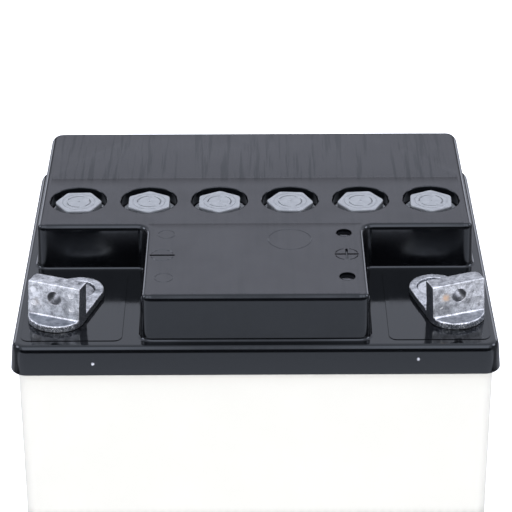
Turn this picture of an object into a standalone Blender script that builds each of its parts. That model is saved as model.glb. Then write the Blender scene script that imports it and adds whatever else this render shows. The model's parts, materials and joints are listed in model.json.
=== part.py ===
"""A 12 V flooded motorcycle battery, built as the real one comes apart on a bench.

Frame: origin at the middle of the base, +X towards the positive terminal, -Y towards the terminals, +Z up.
"""

import math

import bmesh
import bpy
from mathutils import Matrix, Vector

MM = 0.001
OBJECT_NAME = "motorcycle_battery"

# Overall sizes
LENGTH = 168 * MM
WIDTH = 137 * MM
HEIGHT = 176 * MM
GAP = 0.3 * MM

# Lid
SKIRT_BOTTOM_Z = 149 * MM
LEDGE_Z = 159.5 * MM
PLATE_T = 3 * MM
SHELL_T = 2.5 * MM
SKIRT_CORNER_R = 6 * MM
SKIRT_INSIDE = (164 * MM, 133 * MM)
BAR_HALF_X = 78.4 * MM
BAR_FRONT_Y = -10.4 * MM
BAR_BACK_Y = 67.4 * MM
BLOCK_HALF_X = 39.2 * MM
BLOCK_FRONT_Y = -62.0 * MM
RAISED_CORNER_R = 4 * MM
TOP_CHAMFER = 1.5 * MM

# Cells, six in a row along X
CELL_COUNT = 6
CELL_PITCH = 25.85 * MM
PARTITION_T = 1.6 * MM

# Filler wells and plugs
WELL_Y = 10.5 * MM
WELL_R = 10.35 * MM
WELL_FLOOR_Z = 168 * MM
WELL_WALL_T = 1.9 * MM
NECK_OUTER_R = 9.9 * MM
NECK_BORE_R = 8 * MM
NECK_BOTTOM_Z = 160 * MM
PLUG_SEAL_MAJOR_R = 8.75 * MM
PLUG_SEAL_MINOR_R = 0.7 * MM
PLUG_FLANGE_R = 9.6 * MM
PLUG_FLANGE_T = 1.4 * MM
PLUG_HEX_FLATS = 15 * MM
PLUG_HEX_ROUNDING = 0.965  # the share of the sharp corners' reach that is left
PLUG_HEAD_INSET = 0.6 * MM
PLUG_DIMPLE_R = 1.1 * MM
PLUG_DIMPLE_DEPTH = 0.8 * MM
PLUG_TOP_Z = 175.2 * MM
PLUG_SHANK_R = 7.6 * MM
PLUG_BARREL_R = 5.6 * MM
PLUG_BORE_R = 4.2 * MM
PLUG_BOTTOM_Z = 150 * MM
PLUG_SLOT = 2.4 * MM
# How far each hexagon is turned from having two corners on the X line
PLUG_TURNS_DEG = (2, 30, 29, -4, 5, 27)

# Gas vents in the raised block
VENT_XY = ((31.7 * MM, -15.6 * MM), (31.7 * MM, -47.6 * MM))
VENT_NAMES = ("rear", "front")
VENT_R = 2.7 * MM
VENT_BOSS_R = 5.4 * MM
VENT_POCKET_R = 3.9 * MM
VENT_POCKET_BOTTOM_Z = 170 * MM
FRIT_TOP_Z = 173.4 * MM
FRIT_T = 2 * MM

# Terminals: an upright flag on a foot with two round lobes
FLAG_YAW_DEG = 21
FLAG_CENTRE_XY = (68.9 * MM, -48.7 * MM)
FLAG_WIDTH = 19.7 * MM
FLAG_T = 6.2 * MM
FLAG_FRONT_Y = -2.4 * MM  # from the middle of the toe
FLAG_TOP_Z = 174.7 * MM
BOLT_HOLE_R = 2.7 * MM
BOLT_HOLE_Z = 169.2 * MM
FOOT_T = 2.7 * MM
TOE_R = 9.9 * MM
LOBE_R = 8.4 * MM
LOBE_BEHIND_FLAG = 18.4 * MM
POST_R = 5.2 * MM
POST_FOOT_FLARE = 1.6 * MM
POST_FOOT_H = 3 * MM
BUSHING_OUTER_R = 7.4 * MM
BUSHING_BOSS_R = 9.4 * MM
BUSHING_BOTTOM_Z = 151 * MM
BUSHING_BANDS = 5
BUSHING_GROOVE = 0.8 * MM

# Case
CASE_SIZE = (163.4 * MM, 132.4 * MM)
CASE_CORNER_R = 5 * MM
CASE_WALL_T = 2.5 * MM
CASE_FLOOR_T = 3 * MM
REST_RIB_Y = (-36 * MM, 0.0, 36 * MM)
REST_RIB_T = 4 * MM
REST_RIB_TOP_Z = 9 * MM

# Plates
PLATE_PITCH = 2.5 * MM
PLATE_THICKNESS = 1.5 * MM
PLATE_WIDTH = 121 * MM
PLATE_TOP_Z = 121 * MM
PLATES_NEGATIVE = 5
PLATES_POSITIVE = 4
LUG_Y = 34 * MM
LUG_WIDTH = 12 * MM
STRAP_WIDTH = 16 * MM
STRAP_Z = (129 * MM, 138 * MM)
SEPARATOR_T = 0.35 * MM
SEPARATOR_HALF_Y = 62 * MM
SEPARATOR_TOP_Z = 123 * MM
LINK_Z = 133.5 * MM
LINK_R = 4 * MM

ROUND_STEPS = 20
SMALL_STEPS = 12
RING_STEPS = 18
RING_SIDES = 6


def empty_scene():
    for obj in list(bpy.data.objects):
        bpy.data.objects.remove(obj)


def new_collection(name, hidden=False):
    collection = bpy.data.collections.new(name)
    collection.hide_render = hidden
    bpy.context.scene.collection.children.link(collection)
    return collection


def new_material(name, colour, roughness, metallic=0.0):
    material = bpy.data.materials.new(name)
    material.use_nodes = True
    shader = material.node_tree.nodes["Principled BSDF"]
    shader.inputs["Base Color"].default_value = (*colour, 1)
    shader.inputs["Roughness"].default_value = roughness
    shader.inputs["Metallic"].default_value = metallic
    return material


def cell_x(index):
    return (index - (CELL_COUNT - 1) / 2) * CELL_PITCH


def wall_x(index):
    """The middle of the partition between cell index and the next."""
    return cell_x(index) + CELL_PITCH / 2


# Shapes, each returned as a mesh

def mesh_of(bm, name):
    bmesh.ops.recalc_face_normals(bm, faces=bm.faces)
    mesh = bpy.data.meshes.new(name)
    bm.to_mesh(mesh)
    bm.free()
    return mesh


def box(low, high, corner_r=0.0, top_chamfer=0.0, segments=3):
    """A box between two corners, with round upright edges and a chamfered top rim."""
    low, high = Vector(low), Vector(high)
    bm = bmesh.new()
    place = Matrix.Translation((low + high) / 2) @ Matrix.Diagonal((*(high - low), 1))
    bmesh.ops.create_cube(bm, size=1, matrix=place)
    if corner_r:
        upright = [e for e in bm.edges if abs(e.verts[0].co.z - e.verts[1].co.z) > 1e-6]
        bmesh.ops.bevel(bm, geom=upright, offset=corner_r, segments=segments, profile=0.5, affect="EDGES")
    if top_chamfer:
        rim = [e for e in bm.edges if all(abs(v.co.z - high.z) < 1e-7 for v in e.verts)]
        bmesh.ops.bevel(bm, geom=rim, offset=top_chamfer, segments=1, affect="EDGES")
    return mesh_of(bm, "box")


def cylinder(centre, radius, z_low, z_high, steps=ROUND_STEPS, turn=0.0):
    bm = bmesh.new()
    place = Matrix.Translation((centre[0], centre[1], (z_low + z_high) / 2)) @ Matrix.Rotation(turn, 4, "Z")
    bmesh.ops.create_cone(
        bm, cap_ends=True, segments=steps, radius1=radius, radius2=radius, depth=z_high - z_low, matrix=place
    )
    return mesh_of(bm, "cylinder")


def rod(centre, radius, length, axis, steps=SMALL_STEPS):
    """A cylinder lying along a given direction."""
    bm = bmesh.new()
    turn = Vector((0, 0, 1)).rotation_difference(Vector(axis)).to_matrix().to_4x4()
    bmesh.ops.create_cone(
        bm,
        cap_ends=True,
        segments=steps,
        radius1=radius,
        radius2=radius,
        depth=length,
        matrix=Matrix.Translation(centre) @ turn,
    )
    return mesh_of(bm, "rod")


def turned(profile, steps=ROUND_STEPS):
    """A closed profile of (radius, z), outer side running downwards, turned about Z."""
    mesh = bpy.data.meshes.new("profile")
    points = [(r, 0, z) for r, z in profile]
    edges = [(i, (i + 1) % len(points)) for i in range(len(points))]
    mesh.from_pydata(points, edges, [])
    holder = bpy.data.objects.new("turned", mesh)
    screw = holder.modifiers.new("Screw", "SCREW")
    screw.steps = screw.render_steps = steps
    screw.use_merge_vertices = True
    screw.merge_threshold = 1e-5
    return finished(holder)


# Objects

def helper(mesh):
    """A piece that another shape is cut or joined with."""
    obj = bpy.data.objects.new("helper", mesh)
    obj.hide_render = True
    obj.display_type = "WIRE"
    return obj


def finished(obj):
    """The mesh of an object with its modifiers applied; the object goes."""
    bpy.context.scene.collection.objects.link(obj)
    bpy.context.view_layer.update()
    graph = bpy.context.evaluated_depsgraph_get()
    mesh = bpy.data.meshes.new_from_object(obj.evaluated_get(graph))
    bpy.data.objects.remove(obj)
    return mesh


def combined(first, steps):
    """One mesh from a first one and a list of (operation, meshes), in order."""
    mesh = first
    for operation, others in steps:
        tools = new_collection("tools", hidden=True)
        for other in others:
            tools.objects.link(helper(other))
        base = bpy.data.objects.new("base", mesh)
        boolean = base.modifiers.new("Boolean", "BOOLEAN")
        boolean.operation = operation
        boolean.solver = "EXACT"
        boolean.use_self = True
        boolean.operand_type = "COLLECTION"
        boolean.collection = tools
        mesh = finished(base)
        for obj in list(tools.objects):
            bpy.data.objects.remove(obj)
        bpy.data.collections.remove(tools)
    return mesh


def place(collection, name, mesh, material, location=(0, 0, 0), turn=0.0, smooth=False):
    """A named sub-part in the object's collection."""
    if not mesh.materials:
        mesh.materials.append(material)
    mesh.name = name
    if smooth:
        mesh.shade_smooth()
        mesh.set_sharp_from_angle(angle=math.radians(35))
    obj = bpy.data.objects.new(name, mesh)
    obj.location = location
    obj.rotation_euler.z = turn
    collection.objects.link(obj)
    return obj


# The housing

def case_mesh():
    """The white jar: six chambers, rests for the plates and holes for the links between cells."""
    half_x, half_y = CASE_SIZE[0] / 2, CASE_SIZE[1] / 2
    top_z = LEDGE_Z - PLATE_T - GAP
    edges = [-half_x + CASE_WALL_T - PARTITION_T / 2]
    edges += [wall_x(i) for i in range(CELL_COUNT - 1)]
    edges += [half_x - CASE_WALL_T + PARTITION_T / 2]
    inner_y = half_y - CASE_WALL_T
    chambers = [
        box(
            (left + PARTITION_T / 2, -inner_y, CASE_FLOOR_T),
            (right - PARTITION_T / 2, inner_y, top_z + GAP),
        )
        for left, right in zip(edges, edges[1:])
    ]
    rests = [
        box(
            (-half_x + CASE_WALL_T / 2, y - REST_RIB_T / 2, CASE_FLOOR_T / 2),
            (half_x - CASE_WALL_T / 2, y + REST_RIB_T / 2, REST_RIB_TOP_Z),
        )
        for y in REST_RIB_Y
    ]
    link_holes = [
        rod((wall_x(i), link_y(i), LINK_Z), LINK_R + GAP, 4 * PARTITION_T, (1, 0, 0))
        for i in range(CELL_COUNT - 1)
    ]
    jar = box((-half_x, -half_y, 0), (half_x, half_y, top_z), CASE_CORNER_R)
    return combined(jar, [("DIFFERENCE", chambers), ("UNION", rests), ("DIFFERENCE", link_holes)])


def lid_hollows():
    """The gas space over each cell, under the raised part of the lid, with a rib left at each partition."""
    top_z = HEIGHT - SHELL_T
    low_z = LEDGE_Z - PLATE_T - GAP
    back_y = BAR_BACK_Y - SHELL_T
    hollows = [
        box(
            (-SKIRT_INSIDE[0] / 2, -SKIRT_INSIDE[1] / 2, SKIRT_BOTTOM_Z - PLATE_T),
            (SKIRT_INSIDE[0] / 2, SKIRT_INSIDE[1] / 2, LEDGE_Z - PLATE_T),
            SKIRT_CORNER_R - SHELL_T / 2,
        )
    ]
    for half_x, front_y in (
        (BAR_HALF_X - SHELL_T, BAR_FRONT_Y + SHELL_T),
        (BLOCK_HALF_X - SHELL_T, BLOCK_FRONT_Y + SHELL_T),
    ):
        for i in range(CELL_COUNT):
            left = max(cell_x(i) - (CELL_PITCH - PARTITION_T) / 2, -half_x)
            right = min(cell_x(i) + (CELL_PITCH - PARTITION_T) / 2, half_x)
            if i == 0:
                left = -half_x
            if i == CELL_COUNT - 1:
                right = half_x
            if right > left:
                hollows.append(box((left, front_y, low_z), (right, back_y, top_z)))
    return hollows


def lid_mesh():
    """The black cover: a skirt, a ledge and a raised T-shaped block with the filler wells."""
    root_z = LEDGE_Z - PLATE_T / 2
    bar = box(
        (-BAR_HALF_X, BAR_FRONT_Y, root_z), (BAR_HALF_X, BAR_BACK_Y, HEIGHT), RAISED_CORNER_R, TOP_CHAMFER
    )
    block = box(
        (-BLOCK_HALF_X, BLOCK_FRONT_Y, root_z), (BLOCK_HALF_X, WELL_Y, HEIGHT), RAISED_CORNER_R, TOP_CHAMFER
    )
    cover = box(
        (-LENGTH / 2, -WIDTH / 2, SKIRT_BOTTOM_Z), (LENGTH / 2, WIDTH / 2, LEDGE_Z), SKIRT_CORNER_R, TOP_CHAMFER
    )
    in_top_z = HEIGHT - SHELL_T / 2
    in_plate_z = LEDGE_Z - PLATE_T / 2
    bosses, bores = [], []
    for i in range(CELL_COUNT):
        centre = (cell_x(i), WELL_Y)
        bosses.append(cylinder(centre, WELL_R + WELL_WALL_T, WELL_FLOOR_Z - SHELL_T, in_top_z))
        bosses.append(cylinder(centre, NECK_OUTER_R, NECK_BOTTOM_Z, WELL_FLOOR_Z - SHELL_T / 2))
        bores.append(cylinder(centre, WELL_R, WELL_FLOOR_Z, HEIGHT + SHELL_T))
        bores.append(cylinder(centre, NECK_BORE_R, NECK_BOTTOM_Z - SHELL_T, WELL_FLOOR_Z + SHELL_T))
    for centre in VENT_XY:
        bosses.append(cylinder(centre, VENT_BOSS_R, VENT_POCKET_BOTTOM_Z, in_top_z, SMALL_STEPS))
        bores.append(cylinder(centre, VENT_R, HEIGHT - 2 * SHELL_T, HEIGHT + SHELL_T, SMALL_STEPS))
        bores.append(
            cylinder(centre, VENT_POCKET_R, VENT_POCKET_BOTTOM_Z - SHELL_T, FRIT_TOP_Z + GAP, SMALL_STEPS)
        )
    for side in (-1, 1):
        centre = post_xy(side)
        bosses.append(cylinder(centre, BUSHING_BOSS_R, BUSHING_BOTTOM_Z, in_plate_z))
        bores.append(
            cylinder(centre, BUSHING_OUTER_R + GAP, BUSHING_BOTTOM_Z - SHELL_T, LEDGE_Z + SHELL_T)
        )
    return combined(
        cover,
        [
            ("UNION", [bar, block]),
            ("DIFFERENCE", lid_hollows()),
            ("UNION", bosses),
            ("DIFFERENCE", bores),
        ],
    )


# Terminals, posts and bushings

def flag_axes(side):
    """The unit vectors along a flag's width and out of its back, for the side at -X or +X."""
    yaw = math.radians(FLAG_YAW_DEG)
    return (
        Vector((math.cos(yaw), side * math.sin(yaw), 0)),
        Vector((-side * math.sin(yaw), math.cos(yaw), 0)),
    )


def post_xy(side):
    flag = Vector((side * FLAG_CENTRE_XY[0], FLAG_CENTRE_XY[1], 0))
    return tuple((flag + flag_axes(side)[1] * LOBE_BEHIND_FLAG)[:2])


def oriented(mesh, side, z):
    """Puts a mesh made about the flag's middle at its place and yaw."""
    along, back = flag_axes(side)
    turn = Matrix((along, back, (0, 0, 1))).transposed().to_4x4()
    flag = Vector((side * FLAG_CENTRE_XY[0], FLAG_CENTRE_XY[1], z))
    mesh.transform(Matrix.Translation(flag) @ turn)
    return mesh


def terminal_mesh(side):
    """A cast lead foot, round at both ends, with an upright flag that takes the cable's bolt."""
    low, high = GAP, FOOT_T
    foot = cylinder((0, 0), TOE_R, low, high)
    lobe = cylinder((0, LOBE_BEHIND_FLAG), LOBE_R, low, high)
    # Straight sides that touch both circles
    lean = math.asin((TOE_R - LOBE_R) / LOBE_BEHIND_FLAG)
    bm = bmesh.new()
    corners = [
        Vector((sx * r * math.cos(lean), y + r * math.sin(lean), low))
        for sx, y, r in (
            (-1, 0, TOE_R),
            (1, 0, TOE_R),
            (1, LOBE_BEHIND_FLAG, LOBE_R),
            (-1, LOBE_BEHIND_FLAG, LOBE_R),
        )
    ]
    bottom = bm.faces.new([bm.verts.new(c) for c in corners])
    raised = bmesh.ops.extrude_face_region(bm, geom=[bottom])["geom"]
    bmesh.ops.translate(
        bm, verts=[g for g in raised if isinstance(g, bmesh.types.BMVert)], vec=(0, 0, high - low)
    )
    web = mesh_of(bm, "web")
    flag = box(
        (-FLAG_WIDTH / 2, FLAG_FRONT_Y, low + GAP),
        (FLAG_WIDTH / 2, FLAG_FRONT_Y + FLAG_T, FLAG_TOP_Z - LEDGE_Z),
    )
    hole = rod((0, 0, BOLT_HOLE_Z - LEDGE_Z), BOLT_HOLE_R, 3 * FLAG_T, (0, 1, 0), ROUND_STEPS)
    bore = cylinder((0, LOBE_BEHIND_FLAG), POST_R + GAP, -FOOT_T, 2 * FOOT_T)
    whole = combined(foot, [("UNION", [lobe, web, flag]), ("DIFFERENCE", [hole, bore])])
    return oriented(whole, side, LEDGE_Z)


def bushing_mesh():
    """The lead insert in the lid that the post is burned to: wide bands with grooves between them."""
    inner = POST_R + GAP
    bottom, top = BUSHING_BOTTOM_Z, LEDGE_Z - GAP
    profile = [(inner, top)]
    for band in range(BUSHING_BANDS):
        radius = BUSHING_OUTER_R - BUSHING_GROOVE * (band % 2)
        profile += [(radius, top + (bottom - top) * edge / BUSHING_BANDS) for edge in (band, band + 1)]
    return turned(profile + [(inner, bottom)])


def post_mesh():
    """The lead pillar from the end cell's strap up through the lid."""
    bottom, top = STRAP_Z[1] + GAP, LEDGE_Z + FOOT_T
    foot_r, foot_z = POST_R + POST_FOOT_FLARE, bottom + POST_FOOT_H
    return turned([(0, top), (POST_R, top), (POST_R, foot_z), (foot_r, bottom), (0, bottom)])


# Filler plugs

def plug_mesh():
    """A screw plug: hexagon head, flange, shank and a slotted splash barrel open at the bottom."""
    seal_top = WELL_FLOOR_Z + 2 * GAP + 2 * PLUG_SEAL_MINOR_R
    flange_top = seal_top + PLUG_FLANGE_T
    shank_bottom = NECK_BOTTOM_Z
    bore_top = WELL_FLOOR_Z
    head_r = PLUG_HEX_FLATS / 2 - PLUG_HEAD_INSET
    body = turned(
        [
            (0, PLUG_TOP_Z - MM),
            (head_r, PLUG_TOP_Z - MM),
            (head_r, flange_top),
            (PLUG_FLANGE_R, flange_top),
            (PLUG_FLANGE_R, seal_top),
            (PLUG_SHANK_R, seal_top),
            (PLUG_SHANK_R, shank_bottom),
            (PLUG_BARREL_R, shank_bottom - MM),
            (PLUG_BARREL_R, PLUG_BOTTOM_Z),
            (PLUG_BORE_R, PLUG_BOTTOM_Z),
            (PLUG_BORE_R, bore_top),
            (0, bore_top),
        ]
    )
    corner_r = PLUG_HEX_FLATS / 2 / math.cos(math.pi / 6)
    hexagon = cylinder((0, 0), corner_r, flange_top - GAP, PLUG_TOP_Z, 6)
    rounding = cylinder((0, 0), corner_r * PLUG_HEX_ROUNDING, flange_top - MM, PLUG_TOP_Z + MM)
    head = combined(hexagon, [("INTERSECT", [rounding])])
    dimple = cylinder((0, 0), PLUG_DIMPLE_R, PLUG_TOP_Z - PLUG_DIMPLE_DEPTH, PLUG_TOP_Z + MM, SMALL_STEPS)
    slot_z = (PLUG_BOTTOM_Z + shank_bottom) / 2
    half = PLUG_SLOT / 2
    slots = [
        box(
            (-sx * PLUG_SHANK_R - half, -sy * PLUG_SHANK_R - half, slot_z - PLUG_SLOT),
            (sx * PLUG_SHANK_R + half, sy * PLUG_SHANK_R + half, slot_z + PLUG_SLOT),
        )
        for sx, sy in ((1, 0), (0, 1))
    ]
    return combined(body, [("UNION", [head]), ("DIFFERENCE", [dimple, *slots])])


def ring_mesh(major, minor, z):
    bm = bmesh.new()
    for i in range(RING_STEPS):
        a = 2 * math.pi * i / RING_STEPS
        for j in range(RING_SIDES):
            b = 2 * math.pi * j / RING_SIDES
            r = major + minor * math.cos(b)
            bm.verts.new((r * math.cos(a), r * math.sin(a), z + minor * math.sin(b)))
    bm.verts.ensure_lookup_table()
    for i in range(RING_STEPS):
        here, there = i * RING_SIDES, (i + 1) % RING_STEPS * RING_SIDES
        for j in range(RING_SIDES):
            after = (j + 1) % RING_SIDES
            bm.faces.new([bm.verts[k] for k in (here + j, there + j, there + after, here + after)])
    return mesh_of(bm, "ring")


# Cells

def link_y(index):
    """Links alternate between the back and the front, because each cell is turned round from the last."""
    return LUG_Y if index % 2 == 0 else -LUG_Y


def plate_group_mesh(slots, lug_y):
    """Plates side by side, hung by their lugs from one cast strap."""
    middle = (PLATES_NEGATIVE + PLATES_POSITIVE - 1) / 2
    bottom = REST_RIB_TOP_Z + GAP
    plates, lugs = [], []
    for slot in slots:
        x = (slot - middle) * PLATE_PITCH
        left, right = x - PLATE_THICKNESS / 2, x + PLATE_THICKNESS / 2
        plates.append(box((left, -PLATE_WIDTH / 2, bottom), (right, PLATE_WIDTH / 2, PLATE_TOP_Z)))
        lugs.append(
            box(
                (left, lug_y - LUG_WIDTH / 2, PLATE_TOP_Z - MM),
                (right, lug_y + LUG_WIDTH / 2, STRAP_Z[0] + MM),
            )
        )
    half = middle * PLATE_PITCH + PLATE_THICKNESS / 2
    strap = box(
        (-half, lug_y - STRAP_WIDTH / 2, STRAP_Z[0]), (half, lug_y + STRAP_WIDTH / 2, STRAP_Z[1]), 0, MM
    )
    return combined(strap, [("UNION", lugs), ("UNION", plates)])


def separator_mesh():
    """One folded sheet that passes between every two plates."""
    walls = PLATES_NEGATIVE + PLATES_POSITIVE - 1
    bm = bmesh.new()
    points = []
    for i in range(walls):
        x = (i - (walls - 1) / 2) * PLATE_PITCH
        ends = (-SEPARATOR_HALF_Y, SEPARATOR_HALF_Y) if i % 2 == 0 else (SEPARATOR_HALF_Y, -SEPARATOR_HALF_Y)
        points += [(x, y, REST_RIB_TOP_Z + GAP) for y in ends]
    verts = [bm.verts.new(p) for p in points]
    edges = [bm.edges.new(pair) for pair in zip(verts, verts[1:])]
    raised = bmesh.ops.extrude_edge_only(bm, edges=edges)["geom"]
    bmesh.ops.translate(
        bm,
        verts=[g for g in raised if isinstance(g, bmesh.types.BMVert)],
        vec=(0, 0, SEPARATOR_TOP_Z - REST_RIB_TOP_Z - GAP),
    )
    mesh = bpy.data.meshes.new("separator")
    bm.to_mesh(mesh)
    bm.free()
    holder = bpy.data.objects.new("separator", mesh)
    solidify = holder.modifiers.new("Solidify", "SOLIDIFY")
    solidify.thickness = SEPARATOR_T
    solidify.offset = 0
    solidify.use_even_offset = True
    return finished(holder)


def link_mesh():
    """The lead slug that joins two straps through a partition."""
    strap_half = (PLATES_NEGATIVE + PLATES_POSITIVE - 1) / 2 * PLATE_PITCH + PLATE_THICKNESS / 2
    length = CELL_PITCH - 2 * strap_half - 2 * GAP
    return rod((0, 0, 0), LINK_R, length, (1, 0, 0))


# Assembly

def add_housing(parts, materials):
    place(parts, "case", case_mesh(), materials["case"])
    place(parts, "lid", lid_mesh(), materials["lid"])


def add_terminals(parts, materials):
    bushing, post = bushing_mesh(), post_mesh()
    for side, pole in ((-1, "negative"), (1, "positive")):
        x, y = post_xy(side)
        place(parts, f"terminal_{pole}", terminal_mesh(side), materials["lead"])
        place(parts, f"post_{pole}", post, materials["lead"], (x, y, 0), smooth=True)
        place(parts, f"bushing_{pole}", bushing, materials["lead"], (x, y, 0), smooth=True)


def add_plugs(parts, materials):
    plug = plug_mesh()
    seal_z = WELL_FLOOR_Z + GAP + PLUG_SEAL_MINOR_R
    seal = ring_mesh(PLUG_SEAL_MAJOR_R, PLUG_SEAL_MINOR_R, seal_z)
    for i, turn in enumerate(PLUG_TURNS_DEG):
        spot = (cell_x(i), WELL_Y, 0)
        place(parts, f"plug_{i + 1}", plug, materials["plug"], spot, math.radians(turn), smooth=True)
        place(parts, f"plug_seal_{i + 1}", seal, materials["rubber"], spot, smooth=True)


def add_vents(parts, materials):
    frit = cylinder((0, 0), VENT_POCKET_R - GAP, FRIT_TOP_Z - FRIT_T, FRIT_TOP_Z, SMALL_STEPS)
    for name, spot in zip(VENT_NAMES, VENT_XY):
        place(parts, f"flame_arrestor_{name}", frit, materials["frit"], (*spot, 0), smooth=True)


def add_cells(parts, materials):
    slots = range(PLATES_NEGATIVE + PLATES_POSITIVE)
    negative = plate_group_mesh(slots[0::2], -LUG_Y)
    positive = plate_group_mesh(slots[1::2], LUG_Y)
    separator = separator_mesh()
    link = link_mesh()
    for i in range(CELL_COUNT):
        spot = (cell_x(i), 0, 0)
        turn = math.pi * (i % 2)
        place(parts, f"negative_plates_{i + 1}", negative, materials["negative"], spot, turn)
        place(parts, f"positive_plates_{i + 1}", positive, materials["positive"], spot, turn)
        place(parts, f"separator_{i + 1}", separator, materials["separator"], spot, turn)
        if i < CELL_COUNT - 1:
            link_spot = (wall_x(i), link_y(i), LINK_Z)
            place(parts, f"cell_link_{i + 1}_{i + 2}", link, materials["lead"], link_spot, smooth=True)


def main():
    empty_scene()
    parts = new_collection(OBJECT_NAME)
    materials = {
        "case": new_material("case_white", (0.83, 0.84, 0.83), 0.4),
        "lid": new_material("lid_black", (0.03, 0.032, 0.037), 0.42),
        "plug": new_material("plug_grey", (0.36, 0.37, 0.39), 0.5),
        "rubber": new_material("seal_rubber", (0.02, 0.02, 0.02), 0.7),
        "lead": new_material("lead_alloy", (0.46, 0.48, 0.51), 0.5, 0.9),
        "frit": new_material("frit_white", (0.6, 0.61, 0.62), 0.9),
        "negative": new_material("negative_paste", (0.28, 0.29, 0.31), 0.85),
        "positive": new_material("positive_paste", (0.16, 0.09, 0.06), 0.9),
        "separator": new_material("separator_white", (0.75, 0.74, 0.7), 0.8),
    }
    add_housing(parts, materials)
    add_terminals(parts, materials)
    add_plugs(parts, materials)
    add_vents(parts, materials)
    add_cells(parts, materials)


main()
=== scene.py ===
"""The looks of a 12 V motorcycle battery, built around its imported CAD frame.

Frame: origin at the middle of the base, +X towards the positive terminal, -Y towards the terminals, +Z up.
"""

import json
import math

import bmesh
import bpy
import numpy as np
from mathutils import Matrix, Vector, geometry, noise

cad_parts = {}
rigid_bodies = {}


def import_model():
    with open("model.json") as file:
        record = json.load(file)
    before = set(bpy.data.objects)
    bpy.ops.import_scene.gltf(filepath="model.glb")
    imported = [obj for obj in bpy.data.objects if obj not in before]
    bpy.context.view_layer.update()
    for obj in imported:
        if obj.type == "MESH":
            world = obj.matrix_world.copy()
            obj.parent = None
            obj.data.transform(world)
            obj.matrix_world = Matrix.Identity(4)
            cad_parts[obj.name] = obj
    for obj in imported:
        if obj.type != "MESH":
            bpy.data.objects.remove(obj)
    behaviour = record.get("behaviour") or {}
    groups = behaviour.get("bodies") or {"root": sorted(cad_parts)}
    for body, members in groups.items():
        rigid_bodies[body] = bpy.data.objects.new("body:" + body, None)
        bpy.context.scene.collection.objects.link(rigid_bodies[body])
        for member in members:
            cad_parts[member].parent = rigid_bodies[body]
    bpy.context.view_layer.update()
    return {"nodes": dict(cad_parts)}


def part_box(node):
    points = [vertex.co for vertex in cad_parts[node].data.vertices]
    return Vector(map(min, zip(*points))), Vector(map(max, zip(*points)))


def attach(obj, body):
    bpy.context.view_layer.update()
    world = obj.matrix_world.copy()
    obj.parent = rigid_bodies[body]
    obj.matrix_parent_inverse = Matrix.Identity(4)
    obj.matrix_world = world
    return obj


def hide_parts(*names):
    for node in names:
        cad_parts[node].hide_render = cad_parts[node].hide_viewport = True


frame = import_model()

MM = 0.001
SIDES = ((-1, "negative"), (1, "positive"))
QUADRANTS = ((1, 1), (-1, 1), (-1, -1), (1, -1))

# Places that come from the frame
LID_LOW, LID_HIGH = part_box("lid")
CASE_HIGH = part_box("case")[1]
HALF_X, HALF_Y = LID_HIGH.x, LID_HIGH.y
PLUG_CENTRES = [
    Vector(((low.x + high.x) / 2, (low.y + high.y) / 2, 0))
    for low, high in (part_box(f"plug_{i}") for i in range(1, 7))
]
PLUG_LOW, PLUG_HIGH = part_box("plug_1")
FRIT_CENTRES = [
    Vector(((low.x + high.x) / 2, (low.y + high.y) / 2, high.z))
    for low, high in (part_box(f"flame_arrestor_{name}") for name in ("rear", "front"))
]
POST_BOX = {side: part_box(f"post_{pole}") for side, pole in SIDES}

# Lid
LEDGE_Z = 159.5 * MM
TOP_Z = LID_HIGH.z - 0.16 * MM
SHELL_T = 2.5 * MM
PLATE_T = 3 * MM
DRAFT, FRONT_DRAFT = 0.4 * MM, 1.9 * MM
SKIRT_DRAFT, SKIRT_CORNER_R, SKIRT_T = 0.7 * MM, 6 * MM, 2 * MM
TOP_FILLET, BACK_TOP_FILLET, TOP_FILLET_RISE = 2.0 * MM, 0.7 * MM, 1.1
RIM_FILLET, BACK_RIM_FILLET, RIM_FILLET_RISE = 2.1 * MM, 0.7 * MM, 1.3
ROOT_FILLET, BACK_ROOT_FILLET = 1.15 * MM, 0.25 * MM
RAISED = [  # x, y, corner radius at the foot of the raised block, anticlockwise
    (78.8, 67.4, 4.7),
    (-78.8, 67.4, 4.7),
    (-78.8, -11.9, 4.0),
    (-39.4, -11.9, 3.1),
    (-39.4, -63.3, 4.2),
    (39.4, -63.3, 4.2),
    (39.4, -11.9, 3.1),
    (78.8, -11.9, 4.0),
]
WELL_R = 10.35 * MM
WELL_FLOOR_Z = 168 * MM
NECK_R = 8 * MM
NECK_OUTER_R = 9.9 * MM
NECK_BOTTOM_Z = 160 * MM
WELL_BOSS_R = 11.1 * MM
VENT_R = 2.7 * MM
VENT_POCKET_R = 3.9 * MM
VENT_BOSS_R = 5.4 * MM
VENT_BOTTOM_Z = 170 * MM
BUSHING_HOLE_R = 7.7 * MM
BUSHING_BOSS_R = 9.4 * MM
BUSHING_BOTTOM_Z = 151 * MM
SKIRT_BOTTOM_Z = LID_LOW.z - 0.12 * MM
WING_WALL_Y, WING_WALL_REACH = -10 * MM, 2 * MM
GROOVES = [  # y, left x, right x, half width, depth
    [v * MM for v in (28.3, -75.6, 75.6, 0.22, 0.05)],
    [v * MM for v in (-8.1, -38, 38, 0.35, 0.04)],
]
EJECTOR_RINGS = (((12.3, -20.6), 7.6), ((-31.5, -16.5), 3.0), ((-31.5, -48.3), 3.1))
MINUS_CENTRE, PLUS_CENTRE = (-32.5, -32.0), (32.1, -31.7)
MARK_CIRCLE_R = 4.0
GATE_MARKS = ((-55.5, 153.4), (55.4, 154.7))
PAD_X, PAD_Y, PAD_SIZE, PAD_CORNER_R = 63 * MM, -39.2 * MM, (35 * MM, 48.3 * MM), 3 * MM
PAD_HEIGHT, PAD_TAPER = 0.22 * MM, 0.2 * MM

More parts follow.
